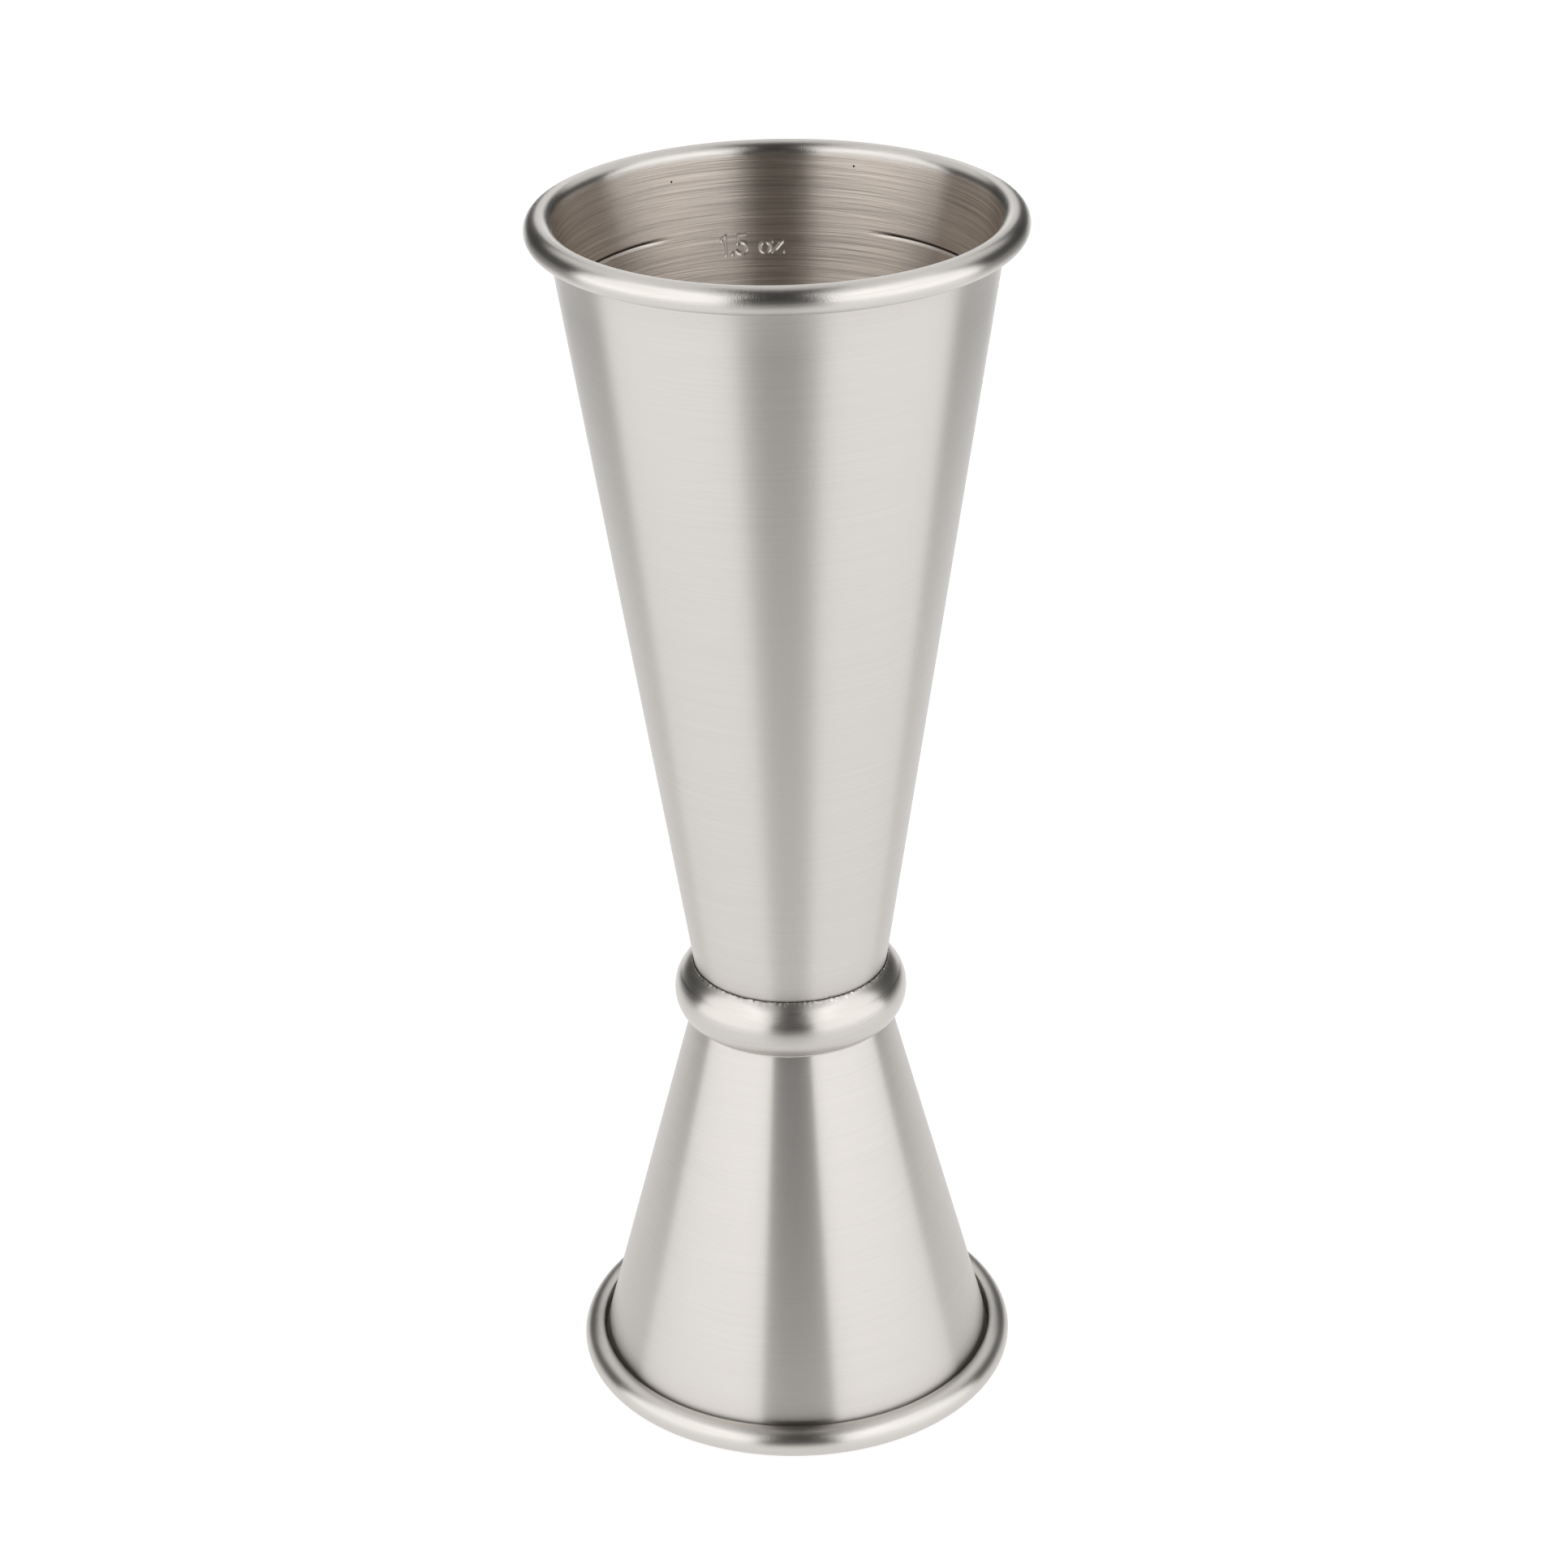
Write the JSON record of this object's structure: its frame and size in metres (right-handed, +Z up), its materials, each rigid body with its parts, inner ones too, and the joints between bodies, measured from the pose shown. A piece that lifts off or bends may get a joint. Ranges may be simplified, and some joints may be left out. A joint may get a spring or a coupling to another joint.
{
  "type": "bar jigger",
  "caption": "Double ended bar jigger: two tapered steel cups joined foot to foot at a collared waist, both mouths rolled into hollow beads, with measuring lines inside.",
  "frame": {"origin": "on the axis, in the plane that the small cup's rim stands on", "axes": "+Z up along the axis, towards the mouth of the large cup; +Y towards the stretch of the large cup's inside wall where the measuring line is broken for its mark"},
  "size_m": [0.0454, 0.0454, 0.121],
  "materials": {
    "cup_steel": "satin, brushed round the axis; brighter and smoother on the rolled rims, warmer and more streaked inside",
    "collar_steel": "fine satin, brushed round the axis",
    "solder": "dull grey solder with bright and brown specks",
    "weld_metal": "dull, faintly heat tinted weld metal, hidden inside the waist"
  },
  "bodies": {
    "root": {"large_cup": "cup_steel", "small_cup": "cup_steel", "waist_collar": "collar_steel", "collar_solder_upper": "solder", "collar_solder_lower": "solder", "floor_spot_welds": "weld_metal", "waist_weld_bead": "weld_metal"}
  },
  "joints": []
}
